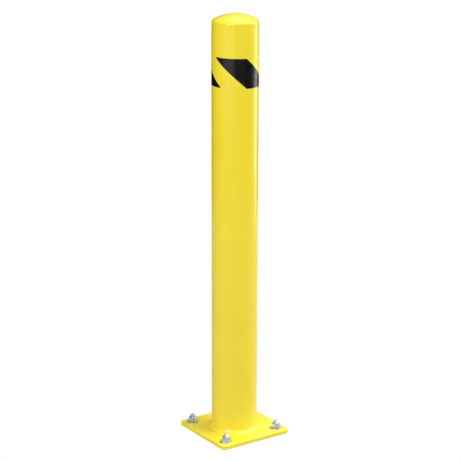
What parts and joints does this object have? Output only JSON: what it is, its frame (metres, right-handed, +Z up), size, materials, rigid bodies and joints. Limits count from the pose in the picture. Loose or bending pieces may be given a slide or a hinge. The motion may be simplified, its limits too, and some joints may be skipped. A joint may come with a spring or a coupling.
{
  "type": "safety bollard",
  "caption": "Surface-mounted yellow steel safety bollard: round post with a domed cap and striped warning band, welded to a square base plate that is held down by expansion anchors.",
  "frame": {"origin": "on the post's axis at the underside of the base plate, where the bollard stands on the floor", "axes": "+Z up along the post; +X and +Y run along the sides of the square base plate"},
  "size_m": [0.2032, 0.2032, 1.0668],
  "materials": {
    "yellow_coat": "semi-gloss safety-yellow powder coat over welded steel",
    "tape_yellow": "smooth self-adhesive vinyl film, yellow ground",
    "tape_black": "smooth self-adhesive vinyl film, black slanted stripes",
    "zinc": "bright zinc-plated steel"
  },
  "bodies": {
    "root": {"post_tube": "yellow_coat", "domed_cap": "yellow_coat", "cap_weld": "yellow_coat", "base_plate": "yellow_coat", "base_weld": "yellow_coat", "tape_film": "tape_yellow", "tape_stripe_1": "tape_black", "tape_stripe_2": "tape_black", "tape_stripe_3": "tape_black", "anchor_stud_1": "zinc", "anchor_washer_1": "zinc", "anchor_nut_1": "zinc", "anchor_stud_2": "zinc", "anchor_washer_2": "zinc", "anchor_nut_2": "zinc", "anchor_stud_3": "zinc", "anchor_washer_3": "zinc", "anchor_nut_3": "zinc", "anchor_stud_4": "zinc", "anchor_washer_4": "zinc", "anchor_nut_4": "zinc"}
  },
  "joints": []
}
